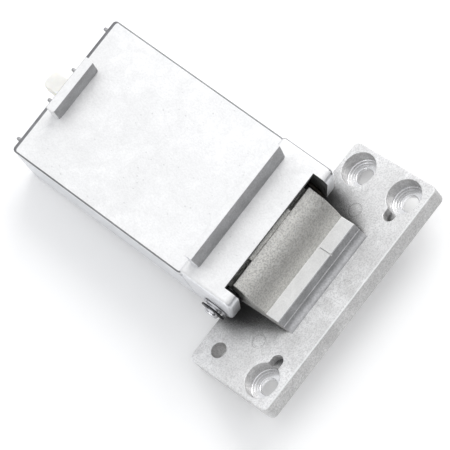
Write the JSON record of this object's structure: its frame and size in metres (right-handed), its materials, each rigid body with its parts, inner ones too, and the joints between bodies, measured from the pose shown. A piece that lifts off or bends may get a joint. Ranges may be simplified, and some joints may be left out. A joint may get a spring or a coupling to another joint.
{
  "type": "spring-loaded counterbalance hinge",
  "caption": "Cast counterbalance hinge: a flat sprung case with two ears, a pin through them, and a thick screw-down mounting leaf that swings on its knuckle.",
  "frame": {"origin": "centre of the flat underside of the mounting leaf", "axes": "+X along the pin, -Y towards the mounting leaf and +Y towards the rear end of the case, +Z out of the case's cover"},
  "size_m": [0.0694, 0.0995, 0.036],
  "materials": {
    "cast_alloy": "matte as-cast",
    "grainy_cast": "grainy as-cast",
    "steel": "bright turned",
    "blackened": "black oxide",
    "bush_metal": "sintered, oil-filled",
    "spring_steel": "oiled wire",
    "acetal": "moulded, black",
    "nylon": "natural, slightly translucent"
  },
  "bodies": {
    "housing": {"case": "cast_alloy", "cover": "cast_alloy", "pivot_pin": "steel", "pin_washer": "steel", "retaining_clip": "blackened", "ear_bush_left": "bush_metal", "ear_bush_right": "bush_metal", "spacer_left": "acetal", "spacer_right": "acetal", "spring_outer_left": "spring_steel", "spring_outer_right": "spring_steel", "spring_inner_left": "spring_steel", "spring_inner_right": "spring_steel", "guide_rod_left": "steel", "guide_rod_right": "steel", "end_plate": "steel", "end_rivet_1": "grainy_cast", "end_rivet_2": "grainy_cast", "end_rivet_3": "grainy_cast", "end_rivet_4": "grainy_cast"},
    "leaf": {"leaf": "grainy_cast", "leaf_bush_left": "bush_metal", "leaf_bush_right": "bush_metal"},
    "slider": {"slider": "acetal", "cam_follower": "steel", "tail_rod": "nylon"}
  },
  "joints": [
    {"name": "leaf_pivot", "type": "hinge", "parent": "housing", "child": "leaf", "pos_m": [0.0002, 0.01591, 0.006], "axis": [-1, 0, 0], "range_deg": [0, 58], "stiffness_Nm_per_rad": 0.5, "springref_deg": -34.38},
    {"name": "slider_slide", "type": "slide", "parent": "housing", "child": "slider", "axis": [0, 1, 0], "range_m": [0, 0.0052], "deforming": ["spring_outer_left", "spring_outer_right", "spring_inner_left", "spring_inner_right"]}
  ],
  "couplings": [
    {"joint": "slider_slide", "follows": "leaf_pivot", "m_per_rad": 0.005}
  ]
}
